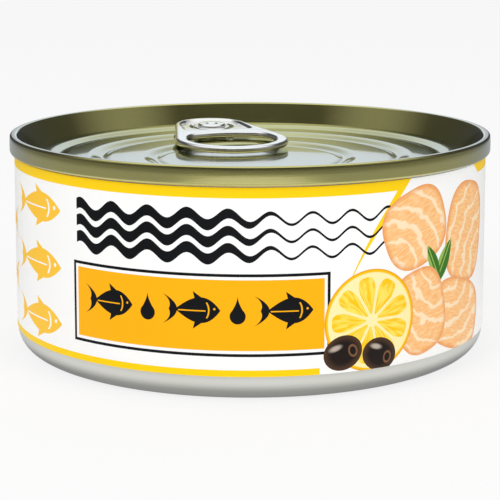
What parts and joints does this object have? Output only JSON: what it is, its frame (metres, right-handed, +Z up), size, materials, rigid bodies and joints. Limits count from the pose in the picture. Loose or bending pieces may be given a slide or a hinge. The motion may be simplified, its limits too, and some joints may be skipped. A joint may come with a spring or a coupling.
{
  "type": "food can",
  "caption": "Short round food can with a stepped easy-open lid, riveted pull tab and printed paper sleeve",
  "frame": {"origin": "centre of the plane the can stands on, on the can's axis", "axes": "+Z up along the can's axis, -Y towards the front of the label, +X to its right"},
  "size_m": [0.0873, 0.0872, 0.0393],
  "materials": {
    "lacquered_steel": "clear gold-olive lacquer on tinplate, smooth and glossy",
    "bare_tinplate": "drawn bare tinplate, satin",
    "bright_steel": "bright plated, polished by the forming tools",
    "printed_paper": "coated printed paper, soft gloss"
  },
  "bodies": {
    "root": {"can_body": "bare_tinplate", "lid": "lacquered_steel", "pull_tab": "bright_steel", "label": "printed_paper"}
  },
  "joints": []
}
